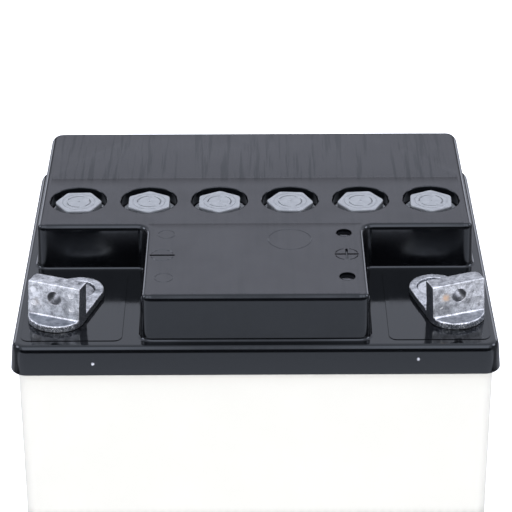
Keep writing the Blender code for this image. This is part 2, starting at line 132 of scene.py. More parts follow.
# Jar
JAR_CORNER_R, JAR_FOOT_R, JAR_DRAFT = 5 * MM, 1.6 * MM, 0.25 * MM
JAR_WALL_T, PARTITION_T, JAR_FLOOR_Z = 2.5 * MM, 1.6 * MM, 3 * MM
CELL_PITCH = 25.85 * MM
LEVEL_LINES_Z, LEVEL_LINE_REACH = (118 * MM, 88 * MM), 26 * MM
PLATES_FADE_Z = (88 * MM, 93 * MM)
PLATE_SHADOW_PITCH = 2.9 * MM

# Terminals
FLAG_YAW = {-1: math.radians(-20.9), 1: math.radians(19.6)}
FLAG_CENTRE = {-1: (-69.0 * MM, -49.1 * MM), 1: (69.7 * MM, -48.1 * MM)}
FLAG_WIDTH = 19.6 * MM
FLAG_T = 6.2 * MM
FLAG_FRONT_Y = -2.4 * MM
FLAG_TOP = {-1: 15.45 * MM, 1: 15.0 * MM}
FLAG_TOP_SLOPE = {-1: 0.0, 1: 0.012}
FLAG_LEAN = {-1: 0.062, 1: -0.056}
BOLT_HOLE_R = 2.5 * MM
BOLT_HOLE = {-1: (0.7 * MM, 10.1 * MM), 1: (-0.3 * MM, 10.0 * MM)}
FOOT_LOW = 0.25 * MM
FOOT_HIGH = 2.7 * MM
TOE_R = 9.9 * MM
TOE_REACH = 8.8 * MM
LOBE_R = 8.95 * MM
LOBE_Y = 18.6 * MM
POST_HOLE_R = {-1: 5.9 * MM, 1: 6.3 * MM}
POST_R, POST_FOOT_R, POST_TOP_Z = 5.2 * MM, 6.8 * MM, 161.5 * MM
# Painted shade: the back, the inner sides, the foot's sides and the bolt hole get very dark tones; the
# other faces get the casting's own tones
FACE_TONES_AND_SHADE = {  # lightness, blueness and graininess of each face of a terminal
    -1: {
        "front": (0.68, 0.22, 0.15),
        "disc": (1.0, 0.0, 0.0),
        "flag_top": (0.46, 0.0, 0.15),
        "toe_top": (0.26, 0.5, 0.0),
        "lobe_top": (0.66, 0.15, 0.2),
        "foot_side": (0.17, 0.35, 1.0),
        "inner_side": (0.05, 0.2, 0.25),
        "back": (0.06, 0.2, 0.1),
        "bore": (0.07, 0.0, 0.1),
    },
    1: {
        "front": (0.54, 0.0, 0.2),
        "disc": (0.46, 0.0, 0.1),
        "flag_top": (0.36, 0.0, 0.15),
        "toe_top": (0.34, 0.4, 0.0),
        "lobe_top": (0.56, 0.15, 0.2),
        "foot_side": (0.08, 0.4, 0.9),
        "inner_side": (0.02, 0.2, 0.1),
        "back": (0.06, 0.2, 0.1),
        "bore": (0.03, 0.0, 0.1),
    },
}
# Lightness of the painted highlight along the terminals' rounded edges
EDGE_HIGHLIGHT_TONE = 0.88
POST_TONES = {-1: (0.52, 0.0, 0.1), 1: (1.0, 0.05, 0.1)}
POST_SHIFT = {-1: (-0.05 * MM, -0.2 * MM), 1: (0.95 * MM, 0.8 * MM)}
DISC_R = 1.25 * MM
DISCS = [(x * MM, z * MM) for z in (7.2, 12.4) for x in (-7.2, 7.2)]
STAINS = {  # centre, radius, colour, strength
    -1: ((-75.5 * MM, -49.5 * MM, 167 * MM), 2.4 * MM, (0.52, 0.46, 0.42), 0.4),
    1: ((65.4 * MM, -52.1 * MM, 169.4 * MM), 2.3 * MM, (0.80, 0.56, 0.38), 0.95),
}

# Plugs
PLUG_TURNS_DEG = (2, 30, 29, -4, 5, 27)
HEX_FLATS = 15.0 * MM
FLANGE_R = 10.0 * MM
FLANGE_Z = (170.0 * MM, 171.4 * MM)
SHANK_R = 7.6 * MM
BARREL_R = 5.6 * MM
PLUG_BORE_R = 4.2 * MM
THREAD_PITCH = 3 * MM
THREAD_H = 0.32 * MM

# Light. Each soft box of the sky has its level, then the low end, high end and softness of its roll, in
# degrees from the horizon behind over the top to the one in front, and of its lean to either side, up to 1
SKY = (
    (1.04, (27, 142, 10), (-1, 0.70, 0.15)),
    (1.50, (104, 138, 12), (0.06, 0.50, 0.05)),
    (1.04, (-167, -120, 8), (-1, 0.80, 0.15)),
    (0.40, (-60, -10, 8), (-1, 0.80, 0.15)),
    (0.28, (-180, 180, 1), (0.80, 1.1, 0.1)),
    (1.80, (-2, 17, 5), (0.43, 0.60, 0.06)),
)
SKY_BASE, SKY_TINT = 0.04, (0.945, 0.98, 1.12)
# A small bright disc on either side, in the direction of these shares of the lean, Y and Z
DISC_SHARES, DISC_EDGE, DISC_LEVEL = (0.83, 0.1, 0.55), (0.976, 0.986), 4.5
# The jar with the floor and the lead have their own soft lamps, so that the black lid keeps only the sky's
# reflections. Each lamp has what it lights, its bearing from the front in degrees, and its power
FILLS = (("jar", 0, 12.5), ("lead", 0, 17), ("jar", 180, 0.5))
FILL_SIZE, FILL_PLACE, FILL_TILT_DEG = (1.6, 1.0), (0, -1.7, 0.75), 70
STAGE_SIZE = 4.0

# Camera
CAMERA_PLACE = (-0.936 * MM, -713.952 * MM, 546.343 * MM)
CAMERA_TURNS_DEG = ((-0.1043, "Z"), (61.4529, "X"), (-0.1965, "Z"))
LENS, SENSOR = 155.9, 36

CIRCLE_STEPS = 56
TONES = "tones"


# Mesh building


class Shell:
    """Gathers the points and faces of one piece. Loops run anticlockwise seen from above."""

    def __init__(self):
        self.points = []
        self.faces = []

    def loop(self, points):
        first = len(self.points)
        self.points.extend(Vector(p) for p in points)
        return list(range(first, len(self.points)))

    def join(self, *loops):
        """Quads between loops; each next loop is above the last on an outside wall."""
        for low, high in zip(loops, loops[1:]):
            for i in range(len(low)):
                j = (i + 1) % len(low)
                self.faces.append((low[i], low[j], high[j], high[i]))

    def cap(self, loop, up=True):
        """A fan over a small loop, from its middle."""
        middle = sum((self.points[i] for i in loop), Vector()) / len(loop)
        centre = self.loop([middle])[0]
        for i in range(len(loop)):
            pair = (loop[i], loop[(i + 1) % len(loop)])
            self.faces.append((*(pair if up else pair[::-1]), centre))

    def fill(self, outer, holes=(), up=True, grooves=()):
        """A flat area between an outer loop and its holes, with shallow grooves along Y lines."""
        used = [i for loop in (outer, *holes) for i in loop]
        flat = [Vector((self.points[i].x, self.points[i].y)) / MM for i in used]
        edges = []
        first = 0
        for loop in (outer, *holes):
            edges += [(first + i, first + (i + 1) % len(loop)) for i in range(len(loop))]
            first += len(loop)
        for y, left, right, half_width, _ in grooves:
            for shift in (-half_width, 0, half_width):
                flat += [Vector((left, y + shift)) / MM, Vector((right, y + shift)) / MM]
                edges.append((len(flat) - 2, len(flat) - 1))
        points, _, triangles, origins, _, _ = geometry.delaunay_2d_cdt(flat, edges, [], 0, 1e-7)
        z = self.points[outer[0]].z
        ids = []
        for point, origin in zip(points, origins):
            known = [o for o in origin if o < len(used)]
            if known:
                ids.append(used[known[0]])
                continue
            sunk = sum(depth for y, _, _, _, depth in grooves if abs(point.y * MM - y) < 1e-7)
            ids += self.loop([(point.x * MM, point.y * MM, z - sunk)])
        loops = [np.array([self.points[i][:2] for i in loop]) for loop in (outer, *holes)]
        for triangle in triangles:
            a, b, c = (points[i] for i in triangle)
            middle = (a + b + c) / 3 * MM
            if sum(inside(middle, loop) for loop in loops) % 2 == 0:
                continue
            if (b - a).cross(c - a) < 0:
                triangle = triangle[::-1]
            face = [ids[i] for i in triangle]
            self.faces.append(tuple(face if up else face[::-1]))

    def turned(self, centre, path, steps=CIRCLE_STEPS):
        """A surface turned round an upright line: a loop at each radius and height of its path."""
        loops = [self.loop(circle(centre, radius, z, steps)) for radius, z in path]
        self.join(*loops)
        return loops

    def mesh(self, name, sharp_deg=30):
        mesh = bpy.data.meshes.new(name)
        mesh.from_pydata(self.points, [], self.faces)
        mesh.validate()
        bm = bmesh.new()
        bm.from_mesh(mesh)
        bmesh.ops.dissolve_degenerate(bm, dist=1e-8, edges=bm.edges)
        loose = [v for v in bm.verts if not v.link_faces]
        bmesh.ops.delete(bm, geom=loose, context="VERTS")
        bm.to_mesh(mesh)
        bm.free()
        smooth(mesh, sharp_deg)
        return mesh


def smooth(mesh, sharp_deg=30):
    mesh.shade_smooth()
    mesh.set_sharp_from_angle(angle=math.radians(sharp_deg))


def inside(point, loop):
    """Whether a flat point is within a loop, by counting the edges to its right."""
    x, y = point
    x1, y1 = loop[:, 0], loop[:, 1]
    x2, y2 = np.roll(x1, -1), np.roll(y1, -1)
    crosses = (y1 > y) != (y2 > y)
    with np.errstate(divide="ignore", invalid="ignore"):
        at = x1 + (y - y1) / (y2 - y1) * (x2 - x1)
    return int((crosses & (x < at)).sum()) % 2


class Outline:
    """A flat outline with round corners: its points and their outward normals."""

    def __init__(self, corners, arc_steps=9, spacing=9 * MM):
        points, normals = [], []
        count = len(corners)
        for i in range(count):
            before, here, after = (Vector(corners[(i + k) % count][:2]) for k in (-1, 0, 1))
            radius = corners[i][2]
            into, away = (here - before).normalized(), (after - here).normalized()
            turn = math.atan2(into.cross(away), into.dot(away))
            bend = 1 if turn > 0 else -1
            reach = radius * math.tan(abs(turn) / 2)
            right = Vector((into.y, -into.x))
            centre = here - into * reach - right * radius * bend
            for k in range(arc_steps + 1):
                angle = turn * k / arc_steps
                normal = Matrix.Rotation(angle, 2) @ right
                points.append(centre + normal * radius * bend)
                normals.append(normal)
            start = points[-1]
            following = corners[(i + 1) % count]
            onward = Vector(corners[(i + 2) % count][:2]) - after
            away_turn = abs(math.atan2(away.cross(onward), away.dot(onward)))
            end = after - away * following[2] * math.tan(away_turn / 2)
            pieces = int((end - start).length // spacing)
            for k in range(1, pieces):
                points.append(start.lerp(end, k / pieces))
                normals.append(Vector((away.y, -away.x)))
        self.points = np.array([p[:] for p in points])
        self.normals = np.array([n[:] for n in normals])

    def ring(self, offset, z, radius=0.0, in_radii=0.0, up_radii=0.0):
        """Points at an offset outwards, moved by parts of a radius that may differ round the outline."""
        radius = np.broadcast_to(radius, len(self.points))
        flat = self.points + self.normals * (offset + radius * in_radii)[:, None]
        return np.column_stack([flat, z + radius * up_radii])

    def facing(self, usual, other, sign):
        """A usual number at each point, and another where it faces back, or front for sign -1."""
        return usual + (other - usual) * np.clip(sign * self.normals[:, 1], 0, 1) ** 2


def circle(centre, radius, z, steps=CIRCLE_STEPS):
    angles = (2 * math.pi * (i + 0.5) / steps for i in range(steps))
    return [(centre[0] + radius * math.cos(a), centre[1] + radius * math.sin(a), z) for a in angles]


def arc(steps=5):
    """Angles from 0 to a quarter turn."""
    return [math.pi / 2 * i / steps for i in range(steps + 1)]


def top_fillet_rings(shell, outline, offset, z, radius, rise, steps=6):
    """Loops over a rounded upper edge, as high as rise radii, then one on the flat for clean shading."""
    loops = [
        shell.loop(outline.ring(offset, z, radius, math.cos(a) - 1, rise * (math.sin(a) - 1)))
        for a in arc(steps)
    ]
    loops.append(shell.loop(outline.ring(offset - 0.4 * MM, z, radius, -1, 0)))
    return loops


def rectangle(centre, size, corner_r, **kwargs):
    (cx, cy), (w, d) = centre, size
    return Outline([(cx + sx * w / 2, cy + sy * d / 2, corner_r) for sx, sy in QUADRANTS], **kwargs)


def evaluated(obj):
    """The mesh of a loose object with its modifiers applied; the object is removed."""
    bpy.context.scene.collection.objects.link(obj)
    bpy.context.view_layer.update()
    mesh = bpy.data.meshes.new_from_object(obj.evaluated_get(bpy.context.evaluated_depsgraph_get()))
    bpy.data.objects.remove(obj)
    return mesh


def combined(mesh, operation, others):
    """A mesh with others cut from it or joined to it."""
    holder = bpy.data.objects.new("base", mesh)
    tools = bpy.data.collections.new("tools")
    bpy.context.scene.collection.children.link(tools)
    for other in others:
        tools.objects.link(bpy.data.objects.new("tool", other))
    boolean = holder.modifiers.new("Boolean", "BOOLEAN")
    boolean.operation = operation
    boolean.operand_type = "COLLECTION"
    boolean.solver = "EXACT"
    boolean.use_self = True
    boolean.collection = tools
    mesh = evaluated(holder)
    for obj in list(tools.objects):
        bpy.data.objects.remove(obj)
    bpy.data.collections.remove(tools)
    return mesh


def rod(centre, radius, length, axis, steps=40):
    bm = bmesh.new()
    turn = Vector((0, 0, 1)).rotation_difference(Vector(axis)).to_matrix().to_4x4()
    place = Matrix.Translation(centre) @ turn
    bmesh.ops.create_cone(
        bm, cap_ends=True, segments=steps, radius1=radius, radius2=radius, depth=length, matrix=place
    )
    mesh = bpy.data.meshes.new("rod")
    bm.to_mesh(mesh)
    bm.free()
    return mesh


def block(low, high):
    low, high = Vector(low), Vector(high)
    bm = bmesh.new()
    place = Matrix.Translation((low + high) / 2) @ Matrix.Diagonal((*(high - low), 1))
    bmesh.ops.create_cube(bm, size=1, matrix=place)
    mesh = bpy.data.meshes.new("block")
    bm.to_mesh(mesh)
    bm.free()
    return mesh


def piece(name, mesh, material, body, replaces=(), matrix=None):
    """A visible piece that rides on a body and stands for CAD nodes."""
    mesh.materials.clear()
    mesh.materials.append(material)
    obj = bpy.data.objects.new(name, mesh)
    if matrix is not None:
        obj.matrix_world = matrix
    bpy.context.scene.collection.objects.link(obj)
    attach(obj, body)
    if replaces:
        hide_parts(*replaces)
    return obj


# Shader building


class Graph:
    """A node tree that grows by calls, each of which gives the socket that it made."""

    def __init__(self, tree):
        self.nodes, self.links = tree.nodes, tree.links

    def put(self, value, socket):
        """Links a socket to this one, or sets its value."""
        if isinstance(value, bpy.types.NodeSocket):
            self.links.new(value, socket)
        else:
            socket.default_value = (*value, 1) if socket.type == "RGBA" else value

    def node(self, kind, inputs=(), output=0, **settings):
        made = self.nodes.new("ShaderNode" + kind)
        for key, value in settings.items():
            setattr(made, key, value)
        for key, value in dict(inputs).items():
            self.put(value, made.inputs[key])
        return made.outputs[output]

    def math(self, operation, a, b=0.0, clamp=False):
        return self.node("Math", {0: a, 1: b}, operation=operation, use_clamp=clamp)

    def product(self, first, *others):
        for other in others:
            first = self.math("MULTIPLY", first, other)
        return first

    def total(self, first, *others):
        for other in others:
            first = self.math("ADD", first, other)
        return first

    def range(self, value, low, high, to_low=0, to_high=1):
        inputs = {"Value": value, "From Min": low, "From Max": high, "To Min": to_low, "To Max": to_high}
        return self.node("MapRange", inputs, interpolation_type="SMOOTHSTEP")


class Shade(Graph):
    """A material's node tree around one Principled shader."""

    def __init__(self, name, **sockets):
        self.material = bpy.data.materials.new(name)
        self.material.use_nodes = True
        super().__init__(self.material.node_tree)
        self.shader = self.nodes["Principled BSDF"]
        self.place = self.node("TexCoord", output="Object")
        for socket, value in sockets.items():
            self.set(socket.replace("_", " "), value)

    def set(self, socket, value):
        self.put(value, self.shader.inputs[socket])

    def stretched(self, x, y, z):
        """The place with each axis scaled, so that a pattern is drawn out along one of them."""
        return self.node("Mapping", {"Vector": self.place, "Scale": (x, y, z)})

    def noise(self, size, detail=3.0, roughness=0.5, place=None):
        """Noise whose features are about this size, in metres."""
        inputs = {"Vector": place or self.place, "Scale": 1 / size}
        return self.node("TexNoise", {**inputs, "Detail": detail, "Roughness": roughness})

    def mix(self, factor, a, b):
        return self.node("Mix", {0: factor, 6: a, 7: b}, 2, data_type="RGBA")

    def bump(self, height, distance, under=None):
        inputs = {"Height": height, "Distance": distance}
        if under is not None:
            inputs["Normal"] = under
        return self.node("Bump", inputs)

    def axis(self, index):
        return self.node("SeparateXYZ", {0: self.place}, index)


def lid_material():
    """Black glossy polypropylene: polished ledge and walls, and a duller top with streaks and dust."""
    s = Shade("lid_plastic", IOR=1.5)
    on_top = s.range(s.axis(2), TOP_Z - 0.1 * MM, TOP_Z - 0.02 * MM)
    behind_wells = s.range(s.axis(1), 24 * MM, 30 * MM, 0.4, 1)
    grain = s.noise(0.5 * MM, 2.0)
    cloud = s.noise(14 * MM, 3.0)
    streak = s.noise(1.7 * MM, 4.0, 0.65, place=s.stretched(1, 0.035, 1))
    dust = s.noise(0.9 * MM, 4.0, 0.7)
    speck = s.range(dust, 0.66, 0.74, 0, 0.5)
    dark_streak = s.product(s.range(streak, 0.385, 0.475, 1, 0), behind_wells)
    film = s.mix(dark_streak, (0.028, 0.0265, 0.028), (0.009, 0.009, 0.010))
    base = s.mix(on_top, (0.0022, 0.0024, 0.0030), film)
    s.set("Base Color", s.mix(speck, base, (0.026, 0.026, 0.027)))
    above_ledge = s.range(s.axis(2), LEDGE_Z + 0.5 * MM, LEDGE_Z + 1.5 * MM)
    wing_wall = s.product(
        s.range(
            s.math("ABSOLUTE", s.math("SUBTRACT", s.axis(1), WING_WALL_Y)),
            WING_WALL_REACH,
            WING_WALL_REACH + 0.4 * MM,
            1,
            0,
        ),
        s.range(s.axis(2), TOP_Z - 3.4 * MM, TOP_Z - 2.4 * MM, 1, 0),
        s.range(s.axis(2), LEDGE_Z + 1.2 * MM, LEDGE_Z + 2.4 * MM),
    )
    roughness = s.total(
        s.product(above_ledge, 0.02),
        s.product(on_top, 0.11),
        s.product(wing_wall, 0.06),
        s.range(cloud, 0.3, 0.7, 0, 0.05),
        s.range(streak, 0.35, 0.65, 0, 0.04),
        0.05,
    )
    s.set("Roughness", roughness)
    peel = s.bump(grain, 0.003 * MM)
    s.set("Normal", s.bump(s.product(streak, on_top), 0.007 * MM, under=peel))
    s.set("Specular Tint", (0.90, 0.96, 1.0))
    return s.material


def case_material():
    """Milky natural polypropylene: the plates show faintly through it."""
    s = Shade("case_plastic", Roughness=0.38, IOR=1.49)
    cloud = s.noise(30 * MM, 3.0)
    wash = s.range(cloud, 0.3, 0.7, 0, 0.25)
    plates = s.range(s.axis(2), *PLATES_FADE_Z, 1, 0)
    stripes = s.node("TexWave", {"Vector": s.place, "Scale": math.pi / (10 * PLATE_SHADOW_PITCH)})
    on_long_face = s.range(s.math("ABSOLUTE", s.axis(1)), CASE_HIGH.y - 2 * MM, CASE_HIGH.y - 1 * MM)
    depth = s.total(s.product(stripes, on_long_face, 0.25), 0.75)
    ghost = s.product(plates, depth, 0.6)
    body = s.mix(wash, (0.61, 0.595, 0.535), (0.57, 0.56, 0.50))
    s.set("Base Color", s.mix(ghost, body, (0.33, 0.33, 0.295)))
    s.set("Normal", s.bump(s.noise(0.7 * MM, 2.0), 0.006 * MM))
    return s.material


def plug_material():
    """Matt grey polypropylene, slightly mottled, with painted shade darkening the sides of the head above
    the flange.
    """
    s = Shade("plug_plastic", IOR=1.5)
    cloud = s.noise(2.2 * MM, 4.0, 0.6)
    fine = s.noise(0.35 * MM, 3.0)
    base = s.mix(s.range(cloud, 0.35, 0.65), (0.30, 0.312, 0.320), (0.34, 0.352, 0.358))
    # Painted shade: the head's sides, between the flange and the face, are darkened in colour
    below_face = s.range(s.axis(2), PLUG_HIGH.z - 0.9 * MM, PLUG_HIGH.z - 0.3 * MM, 1, 0)
    above_flange = s.range(s.axis(2), FLANGE_Z[1] + 0.1 * MM, FLANGE_Z[1] + 0.5 * MM)
    s.set("Base Color", s.mix(s.product(below_face, above_flange, 0.8), base, (0.085, 0.09, 0.095)))
    s.set("Roughness", s.range(cloud, 0.3, 0.7, 0.42, 0.55))
    s.set("Normal", s.bump(fine, 0.02 * MM))
    return s.material


def lead_material(name, stain=None):
    """Cast lead: mottled grey by the tones stored in its mesh, which carry painted shade and painted edge
    highlights, with pits and bright grains.
    """
    s = Shade(name, Metallic=0.8, IOR=2.0)
    tones = s.node("Attribute", output="Color", attribute_name=TONES)
    light, blue, rough = s.node("SeparateColor", {0: tones}).node.outputs
    patch = s.noise(1.5 * MM, 5.0, 0.65)
    pits = s.noise(0.45 * MM, 3.0, 0.6)
    blotch = s.noise(3.4 * MM, 3.0, 0.5)
    uneven = s.math("SUBTRACT", s.total(patch, blotch), 1.0)
    grains = s.product(rough, s.range(pits, 0.53, 0.60, 0, 0.9))
    level = s.product(light, s.total(s.product(uneven, 2.4), 1.0))
    level = s.math("ADD", level, grains, clamp=True)
    base = s.mix(level, (0.055, 0.058, 0.066), (0.84, 0.85, 0.87))
    base = s.mix(s.range(pits, 0.36, 0.44, 0.45, 0), base, (0.15, 0.155, 0.17))
    base = s.mix(s.product(blue, 0.5), base, (0.14, 0.19, 0.26))
    if stain:
        centre, radius, colour, amount = stain
        away = s.node("VectorMath", {0: s.place, 1: centre}, output=1, operation="DISTANCE")
        wobble = s.product(s.noise(1.2 * MM), radius)
        near = s.range(s.total(away, wobble), radius * 0.6, radius * 1.4, amount, 0)
        base = s.mix(near, base, colour)
    s.set("Base Color", base)
    s.set("Roughness", s.range(patch, 0.35, 0.65, 0.55, 0.36))
    s.set("Normal", s.bump(patch, 0.06 * MM, under=s.bump(pits, 0.04 * MM)))
    return s.material


def grainy_material(name, dark, light, size, roughness, bump_height, **sockets):
    """Two tones of one colour mixed by noise, with a bump of the same noise."""
    s = Shade(name, Roughness=roughness, **sockets)
    grain = s.noise(size, 4.0, 0.6)
    s.set("Base Color", s.mix(s.range(grain, 0.3, 0.7), dark, light))
    s.set("Normal", s.bump(grain, bump_height))
    return s.material


# Pieces


def lid_mesh():
    """The black cover: skirt, ledge, raised block with wells and vents, and its hollow underside."""
    shell = Shell()
    skirt = rectangle((0, 0), (2 * HALF_X, 2 * HALF_Y), SKIRT_CORNER_R)
    raised = Outline([tuple(v * MM for v in corner) for corner in RAISED])
    rim = skirt.facing(RIM_FILLET, BACK_RIM_FILLET, 1)
    root = raised.facing(ROOT_FILLET, BACK_ROOT_FILLET, 1)
    top_fillet = raised.facing(TOP_FILLET, BACK_TOP_FILLET, 1)
    draft = raised.facing(DRAFT, FRONT_DRAFT, -1)

    # Skirt, from its bottom edge up to the ledge
    foot = [
        shell.loop(skirt.ring(-0.35 * MM, SKIRT_BOTTOM_Z)),
        shell.loop(skirt.ring(-0.1 * MM, SKIRT_BOTTOM_Z + 0.1 * MM)),
        shell.loop(skirt.ring(0, SKIRT_BOTTOM_Z + 0.35 * MM)),
    ]
    rim_loops = top_fillet_rings(shell, skirt, -SKIRT_DRAFT, LEDGE_Z, rim, RIM_FILLET_RISE)
    shell.join(*foot, *rim_loops)

    # Raised block, from the ledge up to its flat top
    root_loops = [shell.loop(raised.ring(0.15 * MM, LEDGE_Z, root, 1, 0))]
    for a in arc():
        root_loops.append(shell.loop(raised.ring(0, LEDGE_Z, root, 1 - math.sin(a), 1 - math.cos(a))))
    top_loops = top_fillet_rings(shell, raised, -draft, TOP_Z, top_fillet, TOP_FILLET_RISE)
    shell.join(*root_loops, *top_loops)

    # Wells with a neck for each plug, through to the underside
    well_rims, well_roots = [], []
    edge, floor_edge = 0.45 * MM, 0.6 * MM
    inner_top_z = TOP_Z - SHELL_T
    path = [(WELL_R + edge + 0.35 * MM, TOP_Z)]
    path += [(WELL_R + edge * (1 - math.sin(a)), TOP_Z - edge * (1 - math.cos(a))) for a in arc(4)]
    path += [
        (WELL_R - floor_edge * (1 - math.cos(a)), WELL_FLOOR_Z + floor_edge * (1 - math.sin(a)))
        for a in arc(4)
    ]
    path += [
        (NECK_R + 0.4 * MM, WELL_FLOOR_Z),
        (NECK_R, WELL_FLOOR_Z - 0.4 * MM),
        (NECK_R, NECK_BOTTOM_Z),
        (NECK_OUTER_R, NECK_BOTTOM_Z),
        (NECK_OUTER_R, WELL_FLOOR_Z - SHELL_T),
        (WELL_BOSS_R, WELL_FLOOR_Z - SHELL_T),
        (WELL_BOSS_R, inner_top_z),
    ]
    for centre in PLUG_CENTRES:
        loops = shell.turned(centre, path)
        well_rims.append(loops[0])
        well_roots.append(loops[-1])

    # Vents: a small hole over a pocket that opens below
    vent_rims, vent_roots = [], []
    for centre in FRIT_CENTRES:
        path = (
            (VENT_R + 0.6 * MM, TOP_Z),
            (VENT_R + 0.3 * MM, TOP_Z),
            (VENT_R + 0.08 * MM, TOP_Z - 0.08 * MM),
            (VENT_R, TOP_Z - 0.3 * MM),
            (VENT_R, centre.z + 0.3 * MM),
            (VENT_POCKET_R, centre.z + 0.3 * MM),
            (VENT_POCKET_R, VENT_BOTTOM_Z),
            (VENT_BOSS_R, VENT_BOTTOM_Z),
            (VENT_BOSS_R, inner_top_z),
        )
        loops = shell.turned(centre, path, 32)
        vent_rims.append(loops[0])
        vent_roots.append(loops[-1])

    shell.fill(top_loops[-1], well_rims + vent_rims + engraved_marks(shell), grooves=GROOVES)

    # Underside: hollow under the raised block, then the plate and the inside of the skirt
    plate_z = LEDGE_Z - PLATE_T
    hollow = [shell.loop(raised.ring(-SHELL_T, z)) for z in (inner_top_z, plate_z)]
    shell.join(*hollow)
    shell.fill(hollow[0], well_roots + vent_roots, up=False)
    inner_skirt = [shell.loop(skirt.ring(-SKIRT_T, z)) for z in (plate_z, SKIRT_BOTTOM_Z)]
    shell.join(*inner_skirt, foot[0])

    # Holes for the lead bushings
    hole_tops, hole_roots = [], []
    path = (
        (BUSHING_HOLE_R, LEDGE_Z),
        (BUSHING_HOLE_R, BUSHING_BOTTOM_Z),
        (BUSHING_BOSS_R, BUSHING_BOTTOM_Z),
        (BUSHING_BOSS_R, plate_z),
    )
    for low, high in POST_BOX.values():
        loops = shell.turned(((low.x + high.x) / 2, (low.y + high.y) / 2), path)
        hole_tops.append(loops[0])
        hole_roots.append(loops[-1])
    shell.fill(rim_loops[-1], [root_loops[0], *hole_tops])
    shell.fill(inner_skirt[0], [hollow[1], *hole_roots], up=False)
    return shell.mesh("lid_shell")


def sector(centre, radius, half_width, start, end, steps=14):
    """A bent strip along part of a circle, anticlockwise."""
    angles = [start + (end - start) * i / steps for i in range(steps + 1)]
    edges = ((radius + half_width, angles), (radius - half_width, angles[::-1]))
    flat = [(r * math.cos(a), r * math.sin(a)) for r, turn in edges for a in turn]
    return np.array(flat) + np.array(centre)


def sunk(shell, rim, floor, depth):
    """A hollow in the lid's top, between two flat outlines in mm; gives the loop to leave open."""
    rim_loop = shell.loop([(x * MM, y * MM, TOP_Z) for x, y in rim])
    floor_loop = shell.loop([(x * MM, y * MM, TOP_Z - depth * MM) for x, y in floor])
    shell.join(rim_loop, floor_loop)
    shell.fill(floor_loop)
    return rim_loop


def engraved_marks(shell):
    """The ejector rings and the two polarity signs in their broken circles, cut into the top of the lid."""
    openings = []
    for (x, y), radius in EJECTOR_RINGS:
        profile = ((0.2, 0), (0.04, 0.12), (-0.04, 0.12), (-0.2, 0))
        path = [((radius + shift) * MM, TOP_Z - depth * MM) for shift, depth in profile]
        loops = shell.turned((x * MM, y * MM), path)
        openings += [loops[0], loops[-1]]
    arm, reach_y, reach_x = 0.45, 3.95, 4.3
    tip, crook = 0.44, 0.12
    corners = (
        ((reach_x, -arm, tip), (reach_x, arm, tip), (arm, arm, crook)),
        ((arm, reach_y, tip), (-arm, reach_y, tip), (-arm, arm, crook)),
        ((-reach_x, arm, tip), (-reach_x, -arm, tip), (-arm, -arm, crook)),
        ((-arm, -reach_y, tip), (arm, -reach_y, tip), (arm, -arm, crook)),
    )
    x, y = PLUS_CENTRE
    plus = Outline([(x + px, y + py, r) for arms in corners for px, py, r in arms], arc_steps=4, spacing=50)
    minus = rectangle(MINUS_CENTRE, (8.9, 1.0), 0.45, arc_steps=5, spacing=50)
    for outline, inset in ((plus, 0.2), (minus, 0.22)):
        rim, floor = (outline.ring(shift, 0)[:, :2] for shift in (0, -inset))
        openings.append(sunk(shell, rim, floor, 0.6))
    clear = 0.26
    for centre, quarters in ((MINUS_CENTRE, 2), (PLUS_CENTRE, 4)):
        span = 2 * math.pi / quarters
        for k in range(quarters):
            ends = (k * span + clear, (k + 1) * span - clear)
            rim = sector(centre, MARK_CIRCLE_R, 0.2, *ends)
            floor = sector(centre, MARK_CIRCLE_R, 0.04, ends[0] + 0.03, ends[1] - 0.03)
            openings.append(sunk(shell, rim, floor, 0.14 if quarters == 2 else 0.3))
    return openings


def pads_mesh():
    """The pads under the terminals."""
    shell = Shell()
    for side, _ in SIDES:
        pad = rectangle((side * PAD_X, PAD_Y), PAD_SIZE, PAD_CORNER_R)
        rings = ((0, LEDGE_Z - PAD_HEIGHT), (-PAD_TAPER, LEDGE_Z + PAD_HEIGHT))
        loops = [shell.loop(pad.ring(offset, z)) for offset, z in rings]
        shell.join(*loops)
        shell.fill(loops[0], up=False)
        shell.fill(loops[1])
    return shell.mesh("lid_pads")


def gates_mesh():
    """The two gate marks low on the front of the skirt."""
    shell = Shell()
    rise = LEDGE_Z - SKIRT_BOTTOM_Z
    steps = 20
    turn = [2 * math.pi * i / steps for i in range(steps)]
    for x, z in GATE_MARKS:
        face_y = -HALF_Y + SKIRT_DRAFT * (z * MM - SKIRT_BOTTOM_Z) / rise
        loops = []
        for radius, out in ((0.6, -0.3), (0.55, 0.04), (0.4, 0.12), (0.15, 0.15)):
            flat = [(x + radius * math.cos(a), z + radius * math.sin(a)) for a in turn]
            loops.append(shell.loop([(px * MM, face_y - out * MM, pz * MM) for px, pz in flat]))
        shell.join(*loops)
        shell.cap(loops[-1])
        shell.cap(loops[0], up=False)
    return shell.mesh("lid_gates")


def case_mesh():
    """The white jar with its six chambers."""
    shell = Shell()
    half_x, half_y, top = CASE_HIGH.x, CASE_HIGH.y, CASE_HIGH.z
    jar = rectangle((0, 0), (2 * half_x, 2 * half_y), JAR_CORNER_R)
    loops = [shell.loop(jar.ring(-JAR_DRAFT, 0, JAR_FOOT_R, -1.25, 0))]
    for a in arc():
        loops.append(shell.loop(jar.ring(-JAR_DRAFT, 0, JAR_FOOT_R, math.sin(a) - 1, 1 - math.cos(a))))
    loops.append(shell.loop(jar.ring(0, top)))
    shell.join(*loops)
    shell.fill(loops[0], up=False)
    rims = []
    end = half_x - JAR_WALL_T + PARTITION_T / 2
    walls = [-end] + [(i - 2) * CELL_PITCH for i in range(5)] + [end]
    for left, right in zip(walls, walls[1:]):
        size = (right - left - PARTITION_T, 2 * (half_y - JAR_WALL_T))
        pocket = rectangle(((left + right) / 2, 0), size, 1 * MM, arc_steps=4, spacing=30 * MM)
        high, low = shell.loop(pocket.ring(0, top)), shell.loop(pocket.ring(0, JAR_FLOOR_Z))
        shell.join(high, low)
        shell.fill(low)
        rims.append(high)
    shell.fill(loops[-1], rims)
    return shell.mesh("case_jar")


